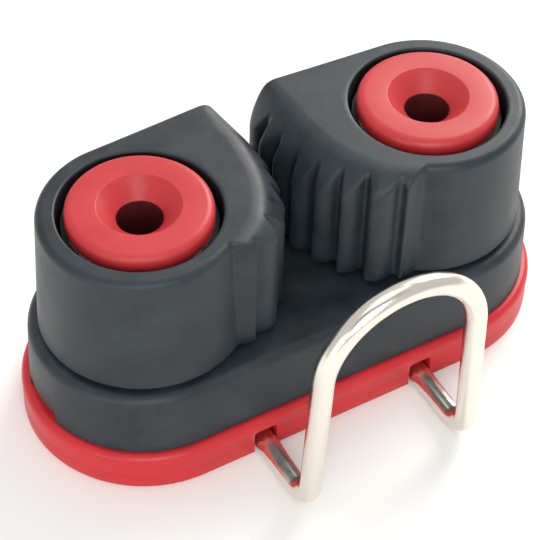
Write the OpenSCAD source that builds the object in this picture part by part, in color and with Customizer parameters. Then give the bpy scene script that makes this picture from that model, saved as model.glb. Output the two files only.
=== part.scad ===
// Cam cleat: two toothed, spring-loaded cams on ball rows, on a base with a
// riser plate that holds a wire fairlead.
// The bottom of the plate is z = 0, midway between the screws. The screws
// stand on the X axis. The wire loop is on the -Y side, where the load pulls.

/* [Fastening] */
// Distance between the two screw holes
hole_spacing = 38; // [34:0.5:48]
// Radius of the screw holes
screw_r = 2.65; // [2:0.05:3]
// Radius of the screw head's countersink
head_r = 4.7; // [4:0.1:5.6]

/* [Plate and base] */
// Thickness of the riser plate
plate_h = 5.2; // [4.2:0.1:7]
// Radius of the plate's round ends, half its width
plate_r = 15; // [14.2:0.1:18.5]
// Height of the base
base_h = 8.8; // [7.2:0.1:12]
// Radius of the base's round ends at its foot
base_r = 14; // [13.2:0.1:17]
// How much narrower the base's ends are at the top
base_draft = 0.35; // [0:0.05:0.6]
// Rounding of the base's top edge
base_edge_r = 1.2; // [0.4:0.1:2]

/* [Cams] */
// Height of a cam
cam_h = 16.4; // [14.5:0.1:20]
// Radius of a cam's barrel at its foot
barrel_r = 12.4; // [11.6:0.1:13]
// How much narrower the barrel is at the top
barrel_draft = 0.8; // [0:0.05:1]
// Rounding of the barrel's top edge
barrel_edge_r = 1; // [0.4:0.1:1.5]
// Gap between the two noses when the cams are closed
nose_gap = 0.4; // [0.2:0.1:1]
// Radius of the curve that the crests of the teeth lie on
grip_r = 19.6; // [18:0.1:21]
// How far behind the cam's axis the middle of that curve lies
grip_y = 5; // [4:0.1:6]
// Distance from the cam's axis to the flank before the first tooth
flank_y = 10.9; // [10.4:0.1:11.2]
// Distance from the cam's axis to its flat back
back_y = 12.2; // [11.8:0.1:12.6]
// Rounding of the nose
nose_r = 1.8; // [1.4:0.1:2.2]
// Number of teeth
tooth_count = 7; // [5:1:7]
// Pitch of the teeth along the curve
tooth_pitch = 3.5; // [3.3:0.02:3.6]
// Depth of the valleys between the teeth
tooth_depth = 1.5; // [0.8:0.05:1.8]
// Height of the sloping shoulder above the teeth
shoulder_h = 5; // [3:0.1:5.5]
// Width of the sloping shoulder
shoulder_w = 4.8; // [3:0.1:5]

/* [Bushes and bearings] */
// Radius of a bush's flange
flange_r = 8.4; // [8:0.05:8.8]
// Thickness of the flange
flange_h = 2.3; // [1.8:0.1:2.8]
// How far the flange stands above the cam
flange_proud = 0.8; // [0.3:0.1:1.4]
// Rounding of the flange's rim
flange_edge_r = 0.9; // [0.3:0.1:1.2]
// Gap around the flange in the cam's recess
flange_gap = 0.95; // [0.5:0.05:1.1]
// Outer radius of a bush's sleeve
sleeve_r = 6.35; // [5.6:0.05:6.6]
// Depth of the base's seat for the sleeve
seat_depth = 3; // [2:0.1:4]
// Diameter of a bearing ball
ball_d = 2.6; // [2.2:0.1:2.8]
// Balls in a row
ball_count = 17; // [10:1:17]
// Number of ball rows in a cam
row_count = 3; // [1:1:3]
// Clearance between a ball and its two races
ball_clear = 0.05; // [0.03:0.01:0.08]

/* [Springs and washers] */
// Diameter of the spring wire
spring_d = 1; // [0.7:0.05:1.1]
// Turns of a spring
spring_turns = 3.75; // [2.75:1:3.75]
// Rise of a spring for each turn
spring_pitch = 1.15; // [1.12:0.01:1.2]
// Thickness of the washer under a cam
washer_h = 0.45; // [0.3:0.05:0.6]
// Clearance between the washer and its cam
washer_clear = 0.07; // [0.03:0.01:0.15]

/* [Wire fairlead] */
// Diameter of the fairlead wire
wire_d = 2.6; // [2:0.1:3]
// Distance between the wire's two legs
leg_spacing = 21.7; // [18:0.1:22.5]
// Distance from the screw line to the middle of the uprights
loop_reach = 25; // [22:0.25:32]
// Height of the loop, from the deck to its top
loop_h = 32.7; // [27:0.1:40]
// How far the uprights lean in, in degrees
lean_in = 2.5; // [0:0.25:4]
// Bend radius of the legs, to the middle of the wire
leg_bend_r = 3; // [2.6:0.1:4.5]
// Length of the hooks at the legs' inner ends
hook_l = 3.5; // [2.5:0.25:5]
// Clearance around the wire in the plate's grooves
wire_clear = 0.05; // [0.03:0.01:0.15]
// Width of the windows where the wire leaves the plate
window_w = 3; // [2.9:0.1:3.6]
// Height of those windows
window_h = 3.6; // [3.2:0.1:3.9]

/* [Hidden] */

SLATE = "#454b50";
RED = "#c8454b";
STEEL = "#d8d8d4";
SPRING = "#b9bcbe";
WHITE = "#ece9e0";
BLACK = "#202224";

over = 1;              // how far a cut runs past a face
groove_in = 0.38;      // how deep a ball's groove goes into its race
row_gap = 0.2;         // wall between two ball rows
spring_room = 0.35;    // space under and around a spring
slip = 0.02;           // clearance of a piece that is pressed in
axis_x = hole_spacing / 2;
base_top = plate_h + base_h;
cam_z = base_top + washer_h + washer_clear;
cam_top = cam_z + cam_h;

// the curve of the teeth, seen from a cam's own axis
grip_reach = axis_x - nose_gap / 2;        // the noses nearly meet at x = 0
grip_x = grip_reach - grip_r;
first_crest = asin((-flank_y - grip_y) / grip_r);
pitch_angle = tooth_pitch / grip_r * 180 / PI;
// one tooth, from a crest to the next: part of the pitch, part of the depth
tooth = [[0, 0], [0.2, 1], [0.32, 1], [0.4, 0.66]];
// the nose's circle lies just inside the curve of the crests
nose_y = back_y - nose_r;
nose_x = grip_x + sqrt(pow(grip_r - nose_r, 2) - pow(nose_y - grip_y, 2));
// the back runs into the barrel at a slant
back_start = 2.5;
back_step = 1.4;

// bush, races and spring room
bush_top = cam_top + flange_proud;
flange_z = bush_top - flange_h;
head_depth = flange_h;
seat_z = base_top - seat_depth;
recess_r = flange_r + flange_gap;
recess_z = flange_z - 0.4;
groove_race_r = ball_d / 2 + ball_clear;
race_r = sleeve_r - groove_in + groove_race_r;
bore_r = race_r + groove_race_r - groove_in;
row_pitch = ball_d + row_gap;
top_row_z = recess_z - 1.5 * row_gap - ball_d / 2;

// spring
spring_z = base_top + spring_d / 2 + spring_room;
spring_segments = 16;
spring_top_z = spring_z + spring_turns * spring_pitch;
leg_in_base = 2;
arm_l = 6;
slot_w = spring_d + spring_room;

washer_in_r = bore_r + spring_room;
washer_out_r = barrel_r - 1.3;

// fairlead wire
wire_r = wire_d / 2;
leg_x = leg_spacing / 2;
crown_z = loop_h - wire_r;
// the arch is tangent to both leaning uprights and ends at the crown
arch_r = (leg_x * cos(lean_in) - (crown_z - wire_r) * sin(lean_in)) / (1 - sin(lean_in));
arch_z = crown_z - arch_r;
leg_bend_y = -loop_reach + leg_bend_r;
hook_bend_r = 2;
hook_y = 2;
channel_w = wire_d + 2 * wire_clear;
channel_h = wire_d + wire_clear;
pocket_l = hook_l + hook_bend_r + channel_w;
window_depth = 1.6;

module left_side() {
    translate([-axis_x, 0, 0]) children();
}

module right_side() {
    translate([axis_x, 0, 0]) mirror([1, 0, 0]) children();
}

// points of an arc, for a turned profile
function arc(c, r, a0, a1, steps = 8) =
    [for (i = [0:steps]) let (a = a0 + (a1 - a0) * i / steps) c + r * [cos(a), sin(a)]];

// outline of a rim with its top edge rounded, from the axis outwards
function rim(r_foot, r_top, h, edge) = concat(
    [[0, 0], [r_foot, 0]],
    arc([r_top - edge, h - edge], edge, 0, 90),
    [[0, h]]);

// a body with two round ends on the screws' line
module stadium(r_foot, r_top, h, edge) {
    outline = rim(r_foot, r_top, h, edge);
    for (s = [-1, 1]) {
        translate([s * axis_x, 0, 0]) rotate_extrude($fn = 96) polygon(outline);
    }
    for (s = [0, 1]) {
        mirror([0, s, 0])
            translate([-axis_x, 0, 0])
            rotate([90, 0, 90])
            linear_extrude(hole_spacing)
            polygon(outline);
    }
}

module screw_holes(z, h) {
    for (s = [-1, 1]) {
        translate([s * axis_x, 0, z]) cylinder(r = screw_r, h = h, $fn = 48);
    }
}

module riser_plate() {
    color(RED)
    difference() {
        stadium(plate_r, plate_r, plate_h, 0.5);
        screw_holes(-over, plate_h + 2 * over);
        // the groove that holds each leg, its window, and the pocket for its hook
        for (s = [0, 1]) {
            mirror([s, 0, 0]) {
                translate([leg_x - channel_w / 2, -plate_r - over, -over])
                    cube([channel_w, plate_r + over + hook_y, channel_h + over]);
                translate([leg_x - window_w / 2, -plate_r - over, -over])
                    cube([window_w, over + window_depth, window_h + over]);
                translate([leg_x + channel_w / 2 - pocket_l, 0, -over])
                    cube([pocket_l, hook_y + hook_bend_r + channel_w / 2, channel_h + over]);
            }
        }
    }
}

// drain notches in the foot of the base, close to its ends
module drain_notches() {
    for (sx = [-1, 1], sy = [-1, 1]) {
        translate([sx * axis_x, 0, plate_h])
            rotate([0, 0, sx > 0 ? sy * 10 : 180 - sy * 10])
            translate([base_r - 1.4, 0, 0])
            rotate([0, 90, 0])
            cylinder(r = 1.5, h = 3, $fn = 32);
    }
}

module cleat_base() {
    color(SLATE)
    difference() {
        translate([0, 0, plate_h]) stadium(base_r, base_r - base_draft, base_h, base_edge_r);
        screw_holes(plate_h - over, base_h + 2 * over);
        drain_notches();
        for (s = [-1, 1]) {
            translate([s * axis_x, 0, seat_z]) cylinder(r = sleeve_r + 0.02, h = seat_depth + over, $fn = 64);
            // the hole for the spring's lower leg
            translate([s * (axis_x + race_r), 0, base_top - leg_in_base - 0.5])
                cylinder(r = spring_d / 2 + 0.15, h = leg_in_base + over, $fn = 32);
        }
    }
}

// a point of the grip: an angle about the curve's middle, and a depth
function on_grip(a, deep) = [grip_x, grip_y] + (grip_r - deep) * [cos(a), sin(a)];

// seen from above: flank, teeth that lean towards the load, nose and back
module grip_outline() {
    teeth = [for (i = [0:tooth_count - 1], t = tooth)
        on_grip(first_crest + (i + t[0]) * pitch_angle, t[1] * tooth_depth)];
    last_crest = on_grip(first_crest + tooth_count * pitch_angle, 0);
    polygon(concat([[0, -flank_y]], teeth, [last_crest, [nose_x, nose_y], [0, nose_y]]));
    translate([nose_x, nose_y]) circle(r = nose_r, $fn = 48);
    polygon([
        [0, 0], [nose_x, 0], [nose_x, back_y],
        [back_start, back_y], [-back_start, back_y - back_step]
    ]);
}

// what is cut away above the sloping shoulder, turned about the curve's middle
module shoulder_cut() {
    steps = 6;
    foot = cam_h - shoulder_h;
    inner = grip_r - shoulder_w;
    outline = concat(
        [[grip_r + shoulder_w, foot - over], [grip_r + 0.2, foot - over]],
        [for (i = [1:steps])
            let (t = 90 * i / steps)
            [inner + shoulder_w * pow(cos(t), 0.9), foot + (shoulder_h + slip) * pow(sin(t), 1.15)]],
        [[inner, cam_h + over], [grip_r + shoulder_w, cam_h + over]]);
    translate([grip_x, grip_y, 0]) rotate_extrude($fn = 256) polygon(outline);
}

module race_grooves(z0) {
    for (i = [0:row_count - 1]) {
        translate([0, 0, top_row_z - i * row_pitch - z0])
            rotate_extrude($fn = 96)
            translate([race_r, 0])
            circle(r = groove_race_r, $fn = 32);
    }
}

module cam() {
    color(SLATE)
    translate([0, 0, cam_z])
    difference() {
        union() {
            rotate_extrude($fn = 128) polygon(rim(barrel_r, barrel_r - barrel_draft, cam_h, barrel_edge_r));
            difference() {
                linear_extrude(cam_h) grip_outline();
                shoulder_cut();
            }
        }
        translate([0, 0, -over]) cylinder(r = bore_r, h = cam_h + 2 * over, $fn = 96);
        translate([0, 0, recess_z - cam_z]) cylinder(r = recess_r, h = cam_h, $fn = 96);
        race_grooves(cam_z);
        // the slot that takes the spring's upper arm
        translate([-arm_l - 0.4, race_r - slot_w / 2, -over])
            cube([arm_l, slot_w, spring_top_z - cam_z + spring_d / 2 + 0.2 + over]);
    }
}

module bush() {
    profile = concat(
        [[screw_r, seat_z], [sleeve_r, seat_z], [sleeve_r, flange_z], [flange_r, flange_z]],
        arc([flange_r - flange_edge_r, bush_top - flange_edge_r], flange_edge_r, 0, 90),
        [[head_r, bush_top], [screw_r, bush_top - head_depth]]);
    color(RED)
    difference() {
        rotate_extrude($fn = 96) polygon(profile);
        race_grooves(0);
    }
}

module balls(row) {
    color(WHITE)
    for (i = [0:ball_count - 1]) {
        rotate([0, 0, i * 360 / ball_count])
            translate([race_r, 0, top_row_z - row * row_pitch])
            sphere(d = ball_d, $fn = 32);
    }
}

// direction of a path at its point i
function along(path, i) =
    let (d = path[min(i + 1, len(path) - 1)] - path[max(i - 1, 0)])
    d / norm(d);

// the part of u that is square to t, at length 1
function square_to(u, t) = let (w = u - (u * t) * t) w / norm(w);

// a normal at each point of a path, carried along it without twisting
function carried(path, u0) =
    [for (i = 0, u = square_to(u0, along(path, 0));
          i < len(path);
          u = square_to(u, along(path, min(i + 1, len(path) - 1))), i = i + 1)
        u];

// a round tube along a path, as one closed skin
module tube(path, r, sides, u0) {
    n = len(path);
    normals = carried(path, u0);
    points = [for (i = [0:n - 1], k = [0:sides - 1])
        let (a = 360 * k / sides)
        path[i] + r * (cos(a) * normals[i] + sin(a) * cross(along(path, i), normals[i]))];
    skin = [for (i = [0:n - 2], k = [0:sides - 1])
        let (a = i * sides + k, b = i * sides + (k + 1) % sides)
        [a, a + sides, b + sides, b]];
    first_end = [[for (k = [0:sides - 1]) k]];
    last_end = [[for (k = [sides - 1:-1:0]) (n - 1) * sides + k]];
    polyhedron(points, concat(skin, first_end, last_end), convexity = 6);
}

// the middle line of a spring: leg, coil and arm
function spring_path() = concat(
    [[-race_r, 0, base_top - leg_in_base], [-race_r, 0, spring_z - 0.4]],
    [for (i = [1:spring_turns * spring_segments])
        let (a = 180 + i * 360 / spring_segments)
        [race_r * cos(a), race_r * sin(a), spring_z + spring_pitch * i / spring_segments]],
    [[-arm_l, race_r, spring_top_z]]);

module spring() {
    color(SPRING) tube(spring_path(), spring_d / 2, 8, [1, 0, 0]);
}

module washer() {
    color(BLACK)
    translate([0, 0, base_top])
    difference() {
        cylinder(r = washer_out_r, h = washer_h, $fn = 96);
        translate([0, 0, -over]) cylinder(r = washer_in_r, h = washer_h + 2 * over, $fn = 96);
    }
}

// a point of the leaning plane that holds a leg, its bend and its upright:
// y as usual, h up the slope
function leaning(y, h) = [leg_x - h * sin(lean_in), y, wire_r + h * cos(lean_in)];

// the middle line of one half of the fairlead, from its hook to its crown
function half_wire() = concat(
    [[leg_x - hook_bend_r - hook_l, hook_y + hook_bend_r, wire_r]],
    [for (i = [0:6])
        let (a = 90 - 15 * i)
        [leg_x - hook_bend_r + hook_bend_r * cos(a), hook_y + hook_bend_r * sin(a), wire_r]],
    [for (i = [0:10])
        let (a = 9 * i)
        leaning(leg_bend_y - leg_bend_r * sin(a), leg_bend_r * (1 - cos(a)))],
    [for (i = [0:20])
        let (a = lean_in + (90 - lean_in) * i / 20)
        [arch_r * cos(a), -loop_reach, arch_z + arch_r * sin(a)]]);

module wire_fairlead() {
    half = half_wire();
    other = [for (i = [len(half) - 2:-1:0]) [-half[i][0], half[i][1], half[i][2]]];
    color(STEEL) tube(concat(half, other), wire_r, 20, [0, 0, 1]);
}

riser_plate();
cleat_base();
wire_fairlead();
left_side() cam();  // left_cam
right_side() cam();  // right_cam
left_side() bush();  // left_bush
right_side() bush();  // right_bush
left_side() balls(0);  // left_balls_top
left_side() balls(1);  // left_balls_middle
left_side() balls(2);  // left_balls_bottom
right_side() balls(0);  // right_balls_top
right_side() balls(1);  // right_balls_middle
right_side() balls(2);  // right_balls_bottom
left_side() spring();  // left_spring
right_side() spring();  // right_spring
left_side() washer();  // left_washer
right_side() washer();  // right_washer
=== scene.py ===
# %% [markdown]
# # A cam cleat
# A cam cleat holds a rope by friction. Two toothed cams stand on spring-loaded bearings, and the
# harder the rope pulls, the harder they close on it. A wire loop in front leads the rope in.
# The CAD model already holds every size, so this script loads it as a fixed frame and gives each
# visible piece a finer shape and a real finish in the same place.

# %% Load the CAD model
import math

import bmesh
import bpy
from mathutils import Matrix, Vector


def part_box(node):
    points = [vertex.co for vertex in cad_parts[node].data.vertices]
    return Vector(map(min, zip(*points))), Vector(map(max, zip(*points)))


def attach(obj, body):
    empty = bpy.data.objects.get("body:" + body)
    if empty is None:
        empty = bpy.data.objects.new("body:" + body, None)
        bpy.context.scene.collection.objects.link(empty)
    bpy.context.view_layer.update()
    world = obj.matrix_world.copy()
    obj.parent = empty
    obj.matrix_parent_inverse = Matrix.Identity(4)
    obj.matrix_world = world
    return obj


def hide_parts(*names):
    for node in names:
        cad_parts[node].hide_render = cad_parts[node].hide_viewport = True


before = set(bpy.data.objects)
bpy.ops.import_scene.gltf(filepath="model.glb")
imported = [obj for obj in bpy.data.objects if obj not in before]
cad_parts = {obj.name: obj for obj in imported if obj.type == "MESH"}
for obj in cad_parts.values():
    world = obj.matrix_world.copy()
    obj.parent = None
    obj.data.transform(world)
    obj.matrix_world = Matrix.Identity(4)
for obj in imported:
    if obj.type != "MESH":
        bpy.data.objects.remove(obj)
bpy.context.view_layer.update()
MM = 0.001

# %% [markdown]
# ## Sizes
# The main heights and radii are read from the CAD nodes' boxes, so the pieces stay in their places.
# Finer sizes, such as those of the teeth and the races, are typed in below. Lengths in this script
# are in millimetres until a mesh is made.

# %% Read the sizes
SIDES = {"left": -1, "right": 1}


def box_mm(node):
    return [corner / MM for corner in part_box(node)]


plate_high = box_mm("riser_plate")[1]
base_low, base_high = box_mm("cleat_base")
cam_low, cam_high = box_mm("right_cam")
bush_low, bush_high = box_mm("right_bush")
wire_high = box_mm("wire_fairlead")[1]
axis_x = (bush_low.x + bush_high.x) / 2
cam_h = cam_high.z - cam_low.z
plate_r, base_r = plate_high.y, base_high.y
print(f"cams {2 * axis_x:.1f} mm apart, {cam_h:.1f} high, tops at {cam_high.z:.2f}")

# %% [markdown]
# ## Three helpers for shapes
# Most pieces here are swept or turned: a ring of points is repeated along a path, and the rings
# are joined with quads. One helper joins rings into a skin, one turns a profile about an upright
# axis, and one cuts other shapes out of a piece with Blender's Boolean modifier.

# %% Make a piece from rings of points
SHARP = math.radians(38)


def finish_mesh(piece):
    """Turns the faces outwards, and shades smooth up to the angle of a real edge."""
    sheet = bmesh.new()
    sheet.from_mesh(piece.data)
    bmesh.ops.remove_doubles(sheet, verts=sheet.verts, dist=1e-7)
    bmesh.ops.recalc_face_normals(sheet, faces=sheet.faces)
    sheet.to_mesh(piece.data)
    sheet.free()
    piece.data.shade_smooth()
    piece.data.set_sharp_from_angle(angle=SHARP)
    return piece


def skin(name, rings, loop=True):
    """Joins rings of points into one closed skin: end to end, or with a cap on both ends."""
    count, rows = len(rings[0]), len(rings)
    points = [Vector(p) * MM for ring in rings for p in ring]
    faces = [
        (
            i * count + k,
            i * count + (k + 1) % count,
            (i + 1) % rows * count + (k + 1) % count,
            (i + 1) % rows * count + k,
        )
        for i in range(rows if loop else rows - 1)
        for k in range(count)
    ]
    if not loop:
        faces += [list(range(count)), list(range((rows - 1) * count, rows * count))]
    mesh = bpy.data.meshes.new(name)
    mesh.from_pydata(points, [], faces)
    piece = bpy.data.objects.new(name, mesh)
    bpy.context.collection.objects.link(piece)
    return finish_mesh(piece)


# %% Turn a profile about an upright axis
def bow(middle, radius, start, end, steps=8):
    """Points of an arc in a plane, from one angle to another in degrees."""
    turns = [math.radians(start + (end - start) * i / steps) for i in range(steps + 1)]
    return [(middle[0] + radius * math.cos(t), middle[1] + radius * math.sin(t)) for t in turns]


def turned(name, profile, at=(0, 0), count=128, loop=True):
    """A profile of (radius, height) turned about an upright axis."""
    spin = [math.tau * k / count for k in range(count)]
    rings = [
        [(at[0] + r * math.cos(t), at[1] + r * math.sin(t), z) for t in spin] for r, z in profile
    ]
    return skin(name, rings, loop)


# %% Cut shapes out of a piece
def carve(piece, cutters, edge=0.12):
    """Cuts the cutters away, then breaks the new edges as a mould's own edges are."""
    for cutter in cutters:
        cut = piece.modifiers.new("cut", "BOOLEAN")
        cut.object, cut.solver = cutter, "EXACT"
    soften = piece.modifiers.new("soften", "BEVEL")
    soften.width, soften.segments = edge * MM, 2
    soften.limit_method, soften.angle_limit = "ANGLE", math.radians(50)
    graph = bpy.context.evaluated_depsgraph_get()
    piece.data = bpy.data.meshes.new_from_object(piece.evaluated_get(graph))
    piece.modifiers.clear()
    for cutter in cutters:
        bpy.data.objects.remove(cutter)
    return finish_mesh(piece)


def block(name, low, high, corner=0.3):
    """A box with rounded edges, as a cutter for a window or a slot."""
    low, high = Vector(low) * MM, Vector(high) * MM
    sheet = bmesh.new()
    bmesh.ops.create_cube(sheet, size=1)
    for v in sheet.verts:
        v.co = Vector((low[i] + (high[i] - low[i]) * (v.co[i] + 0.5) for i in range(3)))
    bmesh.ops.bevel(
        sheet, geom=sheet.edges[:], offset=corner * MM, segments=3, profile=0.5, affect="EDGES"
    )
    mesh = bpy.data.meshes.new(name)
    sheet.to_mesh(mesh)
    sheet.free()
    piece = bpy.data.objects.new(name, mesh)
    bpy.context.collection.objects.link(piece)
    return piece


# %% [markdown]
# ## Colours and nodes
# Colours are written as the hex values that a screen shows, and Blender wants linear light, so one
# function converts them. Another adds a shader node together with its settings and its links,
# which keeps each material readable as a list.

# %% Helpers for materials
def linear(code):
    parts = [int(code[i : i + 2], 16) / 255 for i in (1, 3, 5)]
    return [p / 12.92 if p <= 0.04045 else ((p + 0.055) / 1.055) ** 2.4 for p in parts] + [1]


def new_material(name):
    made = bpy.data.materials.new(name)
    made.use_nodes = True
    made.node_tree.nodes.clear()
    return made


def add(material, kind, settings=None, links=None):
    """Adds a node. settings set its own values or its inputs; links join its inputs to outputs."""
    tree = material.node_tree
    made = tree.nodes.new(kind)
    for name, value in (settings or {}).items():
        if isinstance(name, str) and hasattr(made, name):
            setattr(made, name, value)
        else:
            made.inputs[name].default_value = value
    for name, (source, output) in (links or {}).items():
        tree.links.new(source.outputs[output], made.inputs[name])
    return made


# %% [markdown]
# ### Glass-filled nylon, moulded
# The cams and the base are moulded in nylon with glass fibre in it. The fibre leaves the skin
# slightly mottled and never mirror smooth: a satin sheen over a fine grain of about 0.25 mm, with
# a slow waviness of some millimetres where the thick walls shrank. The grain is finer on the real
# part, and is drawn this coarse so that it shows. The darker plastics for the recess and the bore
# stand for shade, not for another material.

# %% The moulded plastics
def moulded(name, light, dark, rough, grain_mm, grain_high, wave_high):
    """A moulded plastic with mottled colour, a fine grain and a slow waviness."""
    made = new_material(name)
    place = add(made, "ShaderNodeTexCoord")
    mottle = add(
        made,
        "ShaderNodeTexNoise",
        {"Scale": 1 / (5 * MM), "Detail": 5.0, "Roughness": 0.68},
        {"Vector": (place, "Object")},
    )
    tint = add(made, "ShaderNodeValToRGB", {}, {"Fac": (mottle, "Fac")})
    tint.color_ramp.elements[0].position, tint.color_ramp.elements[0].color = 0.3, linear(dark)
    tint.color_ramp.elements[1].position, tint.color_ramp.elements[1].color = 0.7, linear(light)
    grain = add(
        made,
        "ShaderNodeTexNoise",
        {"Scale": 1 / (grain_mm * MM), "Detail": 2.0, "Roughness": 0.5},
        {"Vector": (place, "Object")},
    )
    sheen = add(
        made,
        "ShaderNodeMapRange",
        {"From Min": 0.3, "From Max": 0.7, "To Min": rough - 0.08, "To Max": rough + 0.08},
        {"Value": (mottle, "Fac")},
    )
    wave = add(
        made,
        "ShaderNodeBump",
        {"Strength": 1.0, "Distance": wave_high * MM},
        {"Height": (mottle, "Fac")},
    )
    bumps = add(
        made,
        "ShaderNodeBump",
        {"Strength": 1.0, "Distance": grain_high * MM},
        {"Height": (grain, "Fac"), "Normal": (wave, "Normal")},
    )
    surface = add(
        made,
        "ShaderNodeBsdfPrincipled",
        {"IOR": 1.5, "Specular IOR Level": 0.42},
        {"Base Color": (tint, "Color"), "Roughness": (sheen, "Result"), "Normal": (bumps, "Normal")},
    )
    add(made, "ShaderNodeOutputMaterial", {}, {"Surface": (surface, "BSDF")})
    return made


filled_nylon = moulded("filled_nylon_slate", "#2a333a", "#151e24", 0.46, 0.25, 0.006, 0.05)
red_acetal = moulded("acetal_red", "#bc3338", "#b32e33", 0.42, 0.3, 0.004, 0.03)
shaded_nylon = moulded("filled_nylon_recess", "#0d1114", "#090c0e", 0.6, 0.25, 0.006, 0.05)
# painted shade: a darker red on the screw bores' faces, for the shade deep in the holes
bore_shade_acetal = moulded("acetal_red_painted_shade_bore", "#5e1c21", "#48151a", 0.55, 0.3, 0.004, 0.03)
red_nylon = moulded("nylon_red", "#c6242d", "#bb2029", 0.38, 0.3, 0.004, 0.03)
white_acetal = moulded("acetal_white", "#e9e7e0", "#dedbd2", 0.3, 0.3, 0.002, 0.01)
black_acetal = moulded("acetal_black", "#1b1c1e", "#141517", 0.4, 0.3, 0.003, 0.02)
plastics = (filled_nylon, shaded_nylon, red_acetal, bore_shade_acetal, red_nylon, white_acetal, black_acetal)
print("plastics:", [plastic.name for plastic in plastics])

# %% [markdown]
# ### Stainless steel wire, polished
# The fairlead is drawn stainless wire, bent cold and then tumbled bright. Drawing leaves hair-thin
# lines along it and tumbling leaves a soft orange peel, so reflections are clear but not
# perfect. A metal keeps the default IOR, and its colour is its reflection.

# %% The steels
def steel(name, colour, rough, peel_high):
    made = new_material(name)
    place = add(made, "ShaderNodeTexCoord")
    peel = add(
        made,
        "ShaderNodeTexNoise",
        {"Scale": 1 / (1.1 * MM), "Detail": 3.0},
        {"Vector": (place, "Object")},
    )
    gloss = add(
        made,
        "ShaderNodeMapRange",
        {"From Min": 0.3, "From Max": 0.7, "To Min": rough - 0.04, "To Max": rough + 0.05},
        {"Value": (peel, "Fac")},
    )
    bumps = add(
        made,
        "ShaderNodeBump",
        {"Strength": 1.0, "Distance": peel_high * MM},
        {"Height": (peel, "Fac")},
    )
    surface = add(
        made,
        "ShaderNodeBsdfPrincipled",
        {"Base Color": linear(colour), "Metallic": 1.0},
        {"Roughness": (gloss, "Result"), "Normal": (bumps, "Normal")},
    )
    add(made, "ShaderNodeOutputMaterial", {}, {"Surface": (surface, "BSDF")})
    return made


bright_steel = steel("stainless_wire_bright", "#e9e3d9", 0.22, 0.004)
spring_steel = steel("spring_steel", "#b4b6b8", 0.3, 0.01)

# %% [markdown]
# ## Putting a piece in its place
# A new piece stands for one CAD node: it hides the node, moves with the same body, and gets its own
# material.


# %% Stand a piece in for a CAD node
def stands_for(piece, node, body, material):
    piece.data.materials.clear()
    piece.data.materials.append(material)
    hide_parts(node)
    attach(piece, body)
    print(f"{piece.name}: {len(piece.data.polygons)} faces for {node}")


# %% [markdown]
# ## The cams
# Seen from above, a cam is a round barrel that grows a nose. The nose's outer side is a curve of
# teeth that lean towards the pull: a long face rises to each crest, and a short steep one drops
# behind it. Above the teeth a wide convex shoulder lets the rope slide down between the cams.
# The shape is made as one skin. An outline is worked out first, then it is lifted to a wall, and
# the top is a height field: at each point the drop of the shoulder and the drop of the rounded
# rim are added and taken from the flat top. The recess round the bush and the bore below it are
# darker than the rest of the cam, which stands for the shade in that narrow gap. The CAD cam's slot
# for the spring's arm is left out, so the arm runs into the cam, where nothing shows it.

# %% The cam's outline from above, about its own axis, +X towards the other cam
MOUTH_X, MOUTH_Y, CREST_R = -0.9, 5.0, 19.65
NOSE = (15.9, 10.5, 1.9)
BARREL_FOOT, BARREL_TOP = 12.4, 11.6
NOSE_START, BARREL_END = 20, 304      # the angles where those two arcs meet the teeth
# each crest's angle about the middle of the mouth, and how far it lies below the curve
CRESTS = [(-56.6, 0.95)] + [(-44.0 + 10.4 * k, 0.0) for k in range(7)]
# behind a crest, in degrees and mm: the steep drop, the valley, and where the long face starts
VALLEY = [(1.6, 1.7), (3.0, 1.8), (4.2, 1.3), (6.2, 0.6), (8.4, 0.15)]


def on_table(table, x):
    """Reads a value from a table of corners, in a straight line between them."""
    for (x0, y0), (x1, y1) in zip(table, table[1:]):
        if x <= x1:
            return y0 + (y1 - y0) * (x - x0) / (x1 - x0)
    return table[-1][1]


def tooth_curve(lead=0.0):
    """The toothed curve from the flank to the nose. lead turns the teeth towards the flank."""
    corners = []
    for turn, low in CRESTS:
        corners.append((turn - lead, low))
        corners += [(turn - lead + ahead, deep) for ahead, deep in VALLEY]
    first, last = corners[0][0], CRESTS[-1][0] - lead
    points, steps = [], 480
    for i in range(steps + 1):
        turn = first + (last - first) * i / steps
        reach, a = CREST_R - on_table(corners, turn), math.radians(turn)
        points.append((MOUTH_X + reach * math.cos(a), MOUTH_Y + reach * math.sin(a)))
    return points


def outline_corners(lead):
    """The whole outline at the cam's top: teeth, nose, back, barrel and flank."""
    reach = math.hypot(NOSE[0], NOSE[1])
    away = math.degrees(math.acos((BARREL_TOP - NOSE[2]) / reach))
    back = math.degrees(math.atan2(NOSE[1], NOSE[0])) + away
    nose = bow(NOSE[:2], NOSE[2], NOSE_START, back, 24)
    barrel = bow((0, 0), BARREL_TOP, back, BARREL_END, 220)
    return tooth_curve(lead) + nose + barrel


def evenly(points, step):
    """Spreads points evenly along a closed outline."""
    loop = points + points[:1]
    lengths = [math.dist(a, b) for a, b in zip(loop, loop[1:])]
    total = sum(lengths)
    count = round(total / step)
    spread, i, gone = [], 0, 0.0
    for k in range(count):
        want = total * k / count
        while gone + lengths[i] < want:
            gone += lengths[i]
            i += 1
        share = (want - gone) / max(lengths[i], 1e-9)
        a, b = loop[i], loop[i + 1]
        spread.append((a[0] + (b[0] - a[0]) * share, a[1] + (b[1] - a[1]) * share))
    return spread


def rounded(values, times):
    """Rounds corners off a closed row of points, by averaging each with its neighbours."""
    for _ in range(times):
        after = values[1:] + values[:1]
        values = [
            tuple((a + 2 * b + c) / 4 for a, b, c in zip(values[k - 1], v, after[k]))
            for k, v in enumerate(values)
        ]
    return values


OUTLINE_STEP, OUTLINE_ROUNDING = 0.15, 8
LEADS = {"left": 1.5, "right": 0.0}      # how far each cam's teeth are turned, in degrees
outlines = {
    side: rounded(evenly(outline_corners(lead), OUTLINE_STEP), OUTLINE_ROUNDING)
    for side, lead in LEADS.items()
}
print("cam outlines:", {side: len(points) for side, points in outlines.items()}, "points")


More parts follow.
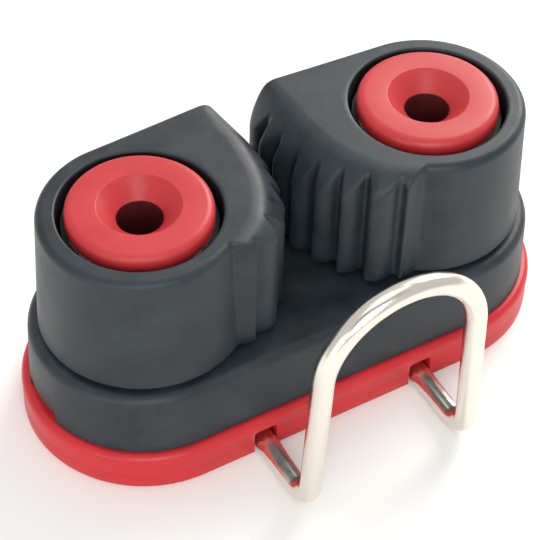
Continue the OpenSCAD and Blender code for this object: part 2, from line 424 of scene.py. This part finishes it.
# %% Where the outline is teeth, and where it is barrel
TEETH_WITHIN = 2.2                         # no valley is this far below the teeth's curve
TEETH_FROM, TEETH_TO = CRESTS[0][0] - 3, 24
TEETH_FADE = 60                            # times the change from teeth to barrel is rounded


def toothed(x, y):
    """1 on the toothed side, 0 on the barrel, the back and the flank."""
    turn = math.degrees(math.atan2(y - MOUTH_Y, x - MOUTH_X))
    far = math.hypot(x - MOUTH_X, y - MOUTH_Y) > CREST_R - TEETH_WITHIN
    return 1.0 if far and TEETH_FROM < turn < TEETH_TO else 0.0


def teeth_share(outline):
    """The same, fading over some millimetres."""
    return [t[0] for t in rounded([(toothed(*p),) for p in outline], TEETH_FADE)]


# %% The height of the cam's top at any point
CREASE_R, SHOULDER_H = 14.8, 5.1
BEND_AT, BEND_SOFT = 0.4, 0.2      # where the shoulder turns steep, as a share of its width
RIM_R, TOOTH_RIM_R = 1.0, 0.6
# where the shoulder starts to fade, and over how many degrees, on the flank and on the nose
FLANK_FROM, FLANK_OVER = -10, 36
NOSE_FROM, NOSE_OVER, NOSE_MOST = 5, 16, 1.1
# in fading, the crease moves out on both sides, and on the flank the shoulder gets shallower
FLANK_OUT, NOSE_OUT, FLANK_SHALLOWER = 1.25, 1.2, 2.9


def between(low, x, high):
    return max(low, min(x, high))


def bend(q):
    """A curve that starts nearly level and runs into a straight slope."""
    return math.hypot(q - BEND_AT, BEND_SOFT) + q - BEND_AT


def shoulder_drop(x, y):
    """How far the shoulder lies below the flat top. It fades out towards the flank and the nose."""
    turn = math.degrees(math.atan2(y - MOUTH_Y, x - MOUTH_X))
    to_flank = between(0, (FLANK_FROM - turn) / FLANK_OVER, 1)
    to_nose = between(0, (turn - NOSE_FROM) / NOSE_OVER, NOSE_MOST)
    crease = CREASE_R + FLANK_OUT * to_flank + NOSE_OUT * to_nose**2
    deep = SHOULDER_H - FLANK_SHALLOWER * to_flank**2
    q = between(0, (math.hypot(x - MOUTH_X, y - MOUTH_Y) - crease) / (CREST_R - crease), 1)
    return deep * (bend(q) - bend(0)) / (bend(1) - bend(0))


def rim_drop(inside, radius):
    """How far a rounded rim lies below the top, at a distance inside the outline."""
    if inside >= radius:
        return 0.0
    return radius - math.sqrt(radius * radius - (radius - inside) ** 2)


# %% Build the cams
RECESS_R, RECESS_EDGE = 9.35, 0.3
RECESS_Z, TRENCH_R, TRENCH_Z = 29.02, 8.85, 24.0
BORE_R, RACE_R, GROOVE_R = 8.29, 7.32, 1.35
ROWS_Z = [27.42, 24.62, 21.82]
RACE_STEP, RACE_END = 0.15, 0.1      # between the rings of a race, and past its last groove
FOOT_EDGE = 0.3
WALL_RINGS, TOP_RINGS = 12, 44
# a face is shaded if its middle is at most this far above the recess's floor and outside its wall
SHADE_ABOVE, SHADE_OUTSIDE = 1.2, 0.01


def bore_at(z):
    """The bore's radius, wider where a ball row runs."""
    near = min(abs(z - row) for row in ROWS_Z)
    if near >= GROOVE_R:
        return BORE_R
    return max(BORE_R, RACE_R + math.sqrt(GROOVE_R**2 - near**2))


def cam_rings(outline):
    """All rings of a cam, from the bore's foot out, up, over the top and down the bore."""
    share = teeth_share(outline)
    away = [math.atan2(y, x) for x, y in outline]
    draft = [(BARREL_FOOT - BARREL_TOP) * (1 - t) for t in share]
    rim = [RIM_R + (TOOTH_RIM_R - RIM_R) * t for t in share]
    low, high = cam_low.z, cam_high.z

    def wall(z, inside=0.0):
        grow = (high - z) / (high - low)
        return [
            (x + (d * grow - inside) * math.cos(t), y + (d * grow - inside) * math.sin(t), z)
            for (x, y), d, t in zip(outline, draft, away)
        ]

    def circle(radius, z):
        return [(radius * math.cos(t), radius * math.sin(t), z) for t in away]

    rings = [circle(BORE_R, low), wall(low, FOOT_EDGE), wall(low + FOOT_EDGE)]
    tops = [high - shoulder_drop(x, y) - r for (x, y), r in zip(outline, rim)]
    for i in range(1, WALL_RINGS + 1):
        ring = []
        for (x, y), d, t, top in zip(outline, draft, away, tops):
            z = low + FOOT_EDGE + (top - low - FOOT_EDGE) * i / WALL_RINGS
            grow = d * (high - z) / (high - low)
            ring.append((x + grow * math.cos(t), y + grow * math.sin(t), z))
        rings.append(ring)
    for i in range(1, TOP_RINGS + 1):
        ring = []
        for (x, y), t, r, d, top in zip(outline, away, rim, draft, tops):
            grow = d * (high - top) / (high - low)
            px, py = x + grow * math.cos(t), y + grow * math.sin(t)
            far = math.hypot(px, py) - RECESS_R - RECESS_EDGE
            inside = far * (i / TOP_RINGS) ** 2
            qx, qy = px - inside * math.cos(t), py - inside * math.sin(t)
            drop = shoulder_drop(qx, qy) + rim_drop(inside, r)
            ring.append((qx, qy, high - drop))
        rings.append(ring)
    for turn in (60, 30, 0):
        a = math.radians(turn)
        radius = RECESS_R + RECESS_EDGE * (1 - math.cos(a))
        rings.append(circle(radius, high - RECESS_EDGE * (1 - math.sin(a))))
    rings += [circle(RECESS_R, TRENCH_Z), circle(TRENCH_R, TRENCH_Z)]
    rings += [circle(TRENCH_R, RECESS_Z), circle(BORE_R, RECESS_Z)]
    z = ROWS_Z[0] + GROOVE_R
    while z > ROWS_Z[-1] - GROOVE_R - RACE_END:
        rings.append(circle(bore_at(z), z))
        z -= RACE_STEP
    return rings


for side, s in SIDES.items():
    rings = cam_rings(outlines[side])
    placed = [[(s * axis_x - s * x, y, z) for x, y, z in ring] for ring in rings]
    cam = skin(f"{side}_cam_moulding", placed)
    stands_for(cam, f"{side}_cam", f"{side}_cam", filled_nylon)
    cam.data.materials.append(shaded_nylon)
    for face in cam.data.polygons:
        from_axis = math.hypot(face.center.x / MM - s * axis_x, face.center.y / MM)
        low_down = face.center.z / MM < RECESS_Z + SHADE_ABOVE
        face.material_index = int(from_axis < RECESS_R + SHADE_OUTSIDE and low_down)

# %% [markdown]
# ## The bushes
# Each cam turns round a red acetal bush. Its flange holds the cam down, its top is countersunk for
# the screw, and its sleeve is the inner race of the ball rows. It is a turned part, so one profile
# makes all of it. Its screw bore is a darker red, which stands for the shade in the hole.

# %% Turn the bushes
FLANGE_R, FLANGE_H, FLANGE_EDGE, LIP_R = 8.4, 2.3, 1.0, 0.4
SLEEVE_R, SCREW_R, HEAD_R = 6.35, 2.65, 4.7
SLEEVE_EDGE, FLANGE_FOOT_EDGE, HEAD_EDGE = 0.2, 0.15, 0.2
COUNTERSINK_TURN = 137      # where the two arcs that end the countersink meet it, in degrees
BORE_TOUCH = 0.03           # a bore face's middle is this close to the bore


def bush_profile():
    top = bush_high.z
    under = top - FLANGE_H
    z = bush_low.z
    e = SLEEVE_EDGE
    profile = [(SCREW_R, z + e), (SCREW_R + e, z), (SLEEVE_R - e, z), (SLEEVE_R, z + e)]
    z = ROWS_Z[-1] - GROOVE_R
    while z < ROWS_Z[0] + GROOVE_R:
        near = min(abs(z - row) for row in ROWS_Z)
        groove = RACE_R - math.sqrt(max(GROOVE_R**2 - near**2, 0))
        profile.append((min(SLEEVE_R, groove), z))
        z += RACE_STEP
    e = FLANGE_FOOT_EDGE
    profile += [(SLEEVE_R, under), (FLANGE_R - e, under), (FLANGE_R, under + e)]
    profile += bow((FLANGE_R - FLANGE_EDGE, top - FLANGE_EDGE), FLANGE_EDGE, 0, 90, 10)
    profile += bow((HEAD_R + HEAD_EDGE, top - HEAD_EDGE), HEAD_EDGE, 90, COUNTERSINK_TURN, 4)
    profile += bow((SCREW_R + LIP_R, top - FLANGE_H), LIP_R, COUNTERSINK_TURN, 180, 5)
    return profile


for side, s in SIDES.items():
    bush = turned(f"{side}_bush_turning", bush_profile(), (s * axis_x, 0))
    stands_for(bush, f"{side}_bush", "base", red_acetal)
    bush.data.materials.append(bore_shade_acetal)
    for face in bush.data.polygons:
        from_axis = math.hypot(face.center.x / MM - s * axis_x, face.center.y / MM)
        face.material_index = int(from_axis < SCREW_R + BORE_TOUCH)

# %% [markdown]
# ## The base
# The base is a stadium: two round ends joined by straight sides, a little narrower at the top so
# that it leaves its mould, with a rounded top edge. It carries the bushes in two seats. Small
# notches in its foot let water drain. The CAD base's hole for the spring's leg is left out, so the
# leg runs into the base, where nothing shows it.


# %% Rings of a stadium
def stadium(radius, z, per_end=96):
    """One ring: a half circle about each screw, joined by straight sides."""
    ring = []
    for s in (1, -1):
        for k in range(per_end + 1):
            t = math.radians(-90 + 180 * k / per_end + (0 if s > 0 else 180))
            ring.append((s * axis_x + radius * math.cos(t), radius * math.sin(t), z))
    return ring


def rod(name, radius, low, high, middle, count=96):
    """A round rod that stands upright, as a cutter for a hole."""
    return turned(name, [(radius, low), (radius, high)], middle, count, loop=False)


def screw_cutters():
    return [
        rod(f"screw_cutter_{side}", SCREW_R, -1, base_high.z + 1, (s * axis_x, 0))
        for side, s in SIDES.items()
    ]


# %% Mould the base
BASE_DRAFT, BASE_EDGE, BASE_FOOT_EDGE = 0.35, 1.2, 0.15
SEAT_DEPTH, SEAT_ROOM = 3.0, 0.02
NOTCH_TURN, NOTCH_R, NOTCH_H = 6, 1.9, 1.5
top = base_high.z
base_profile = [(base_r - BASE_FOOT_EDGE, base_low.z), (base_r, base_low.z + BASE_FOOT_EDGE)]
base_profile += bow((base_r - BASE_DRAFT - BASE_EDGE, top - BASE_EDGE), BASE_EDGE, 2, 90, 10)
base = skin("base_moulding", [stadium(r, z) for r, z in base_profile], loop=False)
cutters = screw_cutters()
for side, s in SIDES.items():
    seat_r, seat_low = SLEEVE_R + SEAT_ROOM, top - SEAT_DEPTH
    cutters.append(rod(f"seat_cutter_{side}", seat_r, seat_low, top + 1, (s * axis_x, 0)))
    for up in (-1, 1):
        t = math.radians(NOTCH_TURN * up)
        middle = (s * (axis_x + base_r * math.cos(t)), base_r * math.sin(t))
        low, high = base_low.z - 1, base_low.z + NOTCH_H
        cutters.append(rod(f"notch_cutter_{side}_{up}", NOTCH_R, low, high, middle, 32))
carve(base, cutters)
stands_for(base, "cleat_base", "base", filled_nylon)

# %% [markdown]
# ## The riser plate
# The red plate lifts the cleat and traps the fairlead's legs in grooves below it. A small window in
# its front side lets each leg out. Its side dips by 0.02 mm where the mould's halves met, which
# hardly shows.

# %% Mould the riser plate
WIRE_R, LEG_X, WIRE_ROOM = 1.3, 10.85, 0.05
WINDOW_W, WINDOW_H = 3.0, 3.6
WINDOW_DEPTH, WINDOW_EDGE, GROOVE_END = 1.6, 0.5, 2
POCKET_L, POCKET_END = 5.6, 5.4
PAST = 2      # how far a cutter reaches out of the plate
PLATE_EDGE, PLATE_FOOT_EDGE = 0.9, 0.25
PARTING, PARTING_AT, PARTING_HALF = 0.02, 0.42, 0.08
h = plate_high.z
mid = h * PARTING_AT
foot = PLATE_FOOT_EDGE
plate_profile = bow((plate_r - foot, foot), foot, -90, 0, 4)
plate_profile += [(plate_r, mid - PARTING_HALF), (plate_r - PARTING, mid)]
plate_profile += [(plate_r - PARTING, mid + PARTING_HALF)]
plate_profile += bow((plate_r - PLATE_EDGE, h - PLATE_EDGE), PLATE_EDGE, 0, 90, 6)
plate = skin("plate_moulding", [stadium(r, z) for r, z in plate_profile], loop=False)
cutters = screw_cutters()
half = WIRE_R + WIRE_ROOM
for side, s in SIDES.items():
    x, w = s * LEG_X, WINDOW_W / 2
    front, roof = -plate_r - PAST, 2 * half - WIRE_ROOM
    inner, outer = sorted((s * (LEG_X - POCKET_L - half), s * (LEG_X + half)))
    window_low, window_high = (x - w, front, -PAST), (x + w, WINDOW_DEPTH - plate_r, WINDOW_H)
    cutters += [
        block(f"groove_{side}", (x - half, front, -PAST), (x + half, GROOVE_END, roof)),
        block(f"window_{side}", window_low, window_high, WINDOW_EDGE),
        block(f"pocket_{side}", (inner, 0, -PAST), (outer, POCKET_END, roof)),
    ]
carve(plate, cutters)
stands_for(plate, "riser_plate", "base", red_nylon)

# %% [markdown]
# ## The wire fairlead
# One length of wire makes the whole loop: a hook below the plate, a leg that comes out of a window,
# a bend upwards, an arch, and the same back down. Its middle line is made of straight runs and
# arcs, as a wire bender would make it, and a ring of points is carried along it.

# %% Sweep a round wire along its middle line
LEAN = math.radians(2.5)
REACH, LEG_BEND_R, HOOK_R, HOOK_Y, HOOK_L = 25.0, 3.0, 2.0, 2.0, 3.5
TIP_SHARE, TIP_L = 0.86, 0.12      # the share of the radius left at a tip, and the tip's length


def swept(name, line, radius, count=32):
    """A round wire along a line of points, with rounded tips."""
    line = [Vector(p) for p in line]
    rings, side = [], Vector((0.13, 0.21, 0.97))      # any direction that the line never takes
    for i, p in enumerate(line):
        ahead = (line[min(i + 1, len(line) - 1)] - line[max(i - 1, 0)]).normalized()
        side = (side - ahead * side.dot(ahead)).normalized()
        other = ahead.cross(side)
        tip = min(i, len(line) - 1 - i)
        r = radius * (TIP_SHARE if tip == 0 else 1.0)
        spin = [math.tau * k / count for k in range(count)]
        rings.append([tuple(p + r * (math.cos(a) * side + math.sin(a) * other)) for a in spin])
    return skin(name, rings, loop=False)


def straight(start, end, step=0.5):
    start, end = Vector(start), Vector(end)
    count = max(2, round((end - start).length / step))
    return [start.lerp(end, i / count) for i in range(1, count)]


def fairlead_half():
    """From the hook's tip to the crown of the arch, on the right."""
    z = WIRE_R

    def leaning(y, up):
        return Vector((LEG_X - up * math.sin(LEAN), y, z + up * math.cos(LEAN)))

    crown = wire_high.z - WIRE_R
    arch_r = (LEG_X * math.cos(LEAN) - (crown - z) * math.sin(LEAN)) / (1 - math.sin(LEAN))
    arch_z = crown - arch_r
    hook = [Vector((LEG_X - HOOK_R + x, HOOK_Y + y, z)) for x, y in bow((0, 0), HOOK_R, 90, 0, 16)]
    tip = Vector((LEG_X - HOOK_R - HOOK_L, HOOK_Y + HOOK_R, z))
    r = LEG_BEND_R
    bend = [
        leaning(-REACH + r + r * math.cos(a), r + r * math.sin(a))
        for a in (math.radians(270 - 90 * i / 20) for i in range(21))
    ]
    arch = [
        Vector((arch_r * math.cos(a), -REACH, arch_z + arch_r * math.sin(a)))
        for a in (LEAN + (math.pi / 2 - LEAN) * i / 40 for i in range(41))
    ]
    full = tip + Vector((TIP_L, 0, 0))
    line = [tip, full] + straight(full, hook[0]) + hook
    line += straight(hook[-1], bend[0]) + bend + straight(bend[-1], arch[0]) + arch
    return line


half_line = fairlead_half()
whole = half_line + [Vector((-p.x, p.y, p.z)) for p in half_line[-2::-1]]
wire = swept("fairlead_wire", whole, WIRE_R, 40)
stands_for(wire, "wire_fairlead", "base", bright_steel)

# %% [markdown]
# ## What is inside
# The balls, the springs and the washers are hidden by the cams, and show only when the cleat is
# taken apart. The CAD shapes of the balls and washers are already right, so they keep their meshes
# and get a finish. Only the springs are swept again, because the CAD wire has eight sides.

# %% Finish the balls and the washers, and wind the springs
for node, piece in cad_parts.items():
    if "balls" in node or "washer" in node:
        finish = white_acetal if "balls" in node else black_acetal
        for place in piece.material_slots:
            place.material = finish

SPRING_R, TURNS, RISE, ARM = 0.5, 3.75, 1.15, 6.0
SPRING_ROOM, LEG_L, COIL_STEPS = 0.35, 2, 48
LEG_TOPS = (0.8, 0.3)      # how far below the coil the leg's last two points are
for side, s in SIDES.items():
    low = base_high.z + SPRING_R + SPRING_ROOM
    leg = [base_high.z - LEG_L] + [low - down for down in LEG_TOPS]
    coil = [Vector((-RACE_R, 0, z)) for z in leg]
    for i in range(1, int(TURNS * COIL_STEPS) + 1):
        a = math.pi + i * math.tau / COIL_STEPS
        z = low + RISE * i / COIL_STEPS
        coil.append(Vector((RACE_R * math.cos(a), RACE_R * math.sin(a), z)))
    arm_end = Vector((-ARM, RACE_R, low + TURNS * RISE))
    coil += straight(coil[-1], arm_end) + [arm_end]
    line = [(s * axis_x - s * p.x, p.y, p.z) for p in coil]
    spring = swept(f"{side}_spring_coil", line, SPRING_R, 16)
    stands_for(spring, f"{side}_spring", "base", spring_steel)

# %% [markdown]
# ## Floor, light and camera
# A plain pale floor lies in a pale world. The main view looks down on it, so no horizon shows
# there, but from a low angle a grey one does. The world is darker behind the camera, so that what
# faces the camera mirrors little light. A broad soft light from above and behind on the right draws
# the long highlights along the cams' rims, and a weaker, warmer one fills from the left.

# %% The floor and the world
def plain(name, colour, rough=0.9):
    made = new_material(name)
    settings = {"Base Color": linear(colour), "Roughness": rough}
    surface = add(made, "ShaderNodeBsdfPrincipled", settings)
    add(made, "ShaderNodeOutputMaterial", {}, {"Surface": (surface, "BSDF")})
    return made


floor_mesh = bpy.data.meshes.new("floor")
FLOOR_HALF = 3.0      # in metres
corners = [(x * FLOOR_HALF, y * FLOOR_HALF, 0) for x, y in ((-1, -1), (1, -1), (1, 1), (-1, 1))]
floor_mesh.from_pydata(corners, [], [(0, 1, 2, 3)])
floor = bpy.data.objects.new("floor", floor_mesh)
bpy.context.collection.objects.link(floor)
floor_mesh.materials.append(plain("floor_pale", "#f4f4f2"))

world = bpy.data.worlds.new("studio")
bpy.context.scene.world = world
world.use_nodes = True
sky = world.node_tree.nodes["Background"]
sky.inputs["Color"].default_value = (1, 1, 1, 1)
DARK_SIDE, DARK_FROM, DARK_FULL = (-0.3, -0.5, 0.81), 0.8, 0.97
BRIGHT, DARK = 0.68, 0.12
direction = add(world, "ShaderNodeTexCoord")
towards = add(world, "ShaderNodeVectorMath", {"operation": "DOT_PRODUCT", 1: DARK_SIDE},
              {0: (direction, "Generated")})
bright = add(world, "ShaderNodeMapRange",
             {"From Min": DARK_FROM, "From Max": DARK_FULL, "To Min": BRIGHT, "To Max": DARK},
             {"Value": (towards, "Value")})
world.node_tree.links.new(bright.outputs["Result"], sky.inputs["Strength"])


# %% The lights
AIM = Vector((0, 0, 0.015))


def panel(name, place, size, watts, colour):
    """A square soft light that faces the cleat."""
    lamp = bpy.data.lights.new(name, "AREA")
    lamp.shape, lamp.size, lamp.energy = "SQUARE", size, watts
    lamp.color = linear(colour)[:3]
    made = bpy.data.objects.new(name, lamp)
    bpy.context.collection.objects.link(made)
    made.location = place
    made.rotation_mode = "QUATERNION"
    made.rotation_quaternion = (Vector(place) - AIM).to_track_quat("Z", "Y")
    return made


panel("key_right_rear", (0.45, 0.25, 0.35), 0.35, 3.4, "#fffaf4")
panel("top_soft", (-0.05, 0.05, 0.6), 0.5, 0.7, "#ffffff")
panel("front_soft", (-0.22, -0.5, 0.4), 0.4, 2.2, "#ffffff")
panel("fill_left", (-0.5, -0.25, 0.12), 0.3, 0.6, "#fff0e0")

# %% The camera
AZ, EL, ROLL = (math.radians(a) for a in (-31.05, 46.73, 1.70))
DISTANCE, SHIFT_RIGHT, SHIFT_UP = 232.31, -1.45, 7.83
back = Vector((math.sin(AZ) * math.cos(EL), -math.cos(AZ) * math.cos(EL), math.sin(EL)))
level = Vector((math.cos(AZ), math.sin(AZ), 0))
upright = back.cross(level)
right = math.cos(ROLL) * level + math.sin(ROLL) * upright
up = -math.sin(ROLL) * level + math.cos(ROLL) * upright
lens = bpy.data.cameras.new("camera")
FOCAL_LENGTH, SENSOR_W = 122.702, 36
lens.lens, lens.sensor_width = FOCAL_LENGTH, SENSOR_W
lens.clip_start, lens.clip_end = 0.01, 20
camera = bpy.data.objects.new("camera", lens)
bpy.context.collection.objects.link(camera)
turn = Matrix((right, up, back)).transposed().to_4x4()
camera.matrix_world = Matrix.Translation(
    (back * DISTANCE + right * SHIFT_RIGHT + up * SHIFT_UP) * MM
) @ turn
bpy.context.scene.camera = camera
bpy.context.scene.view_settings.view_transform = "Standard"
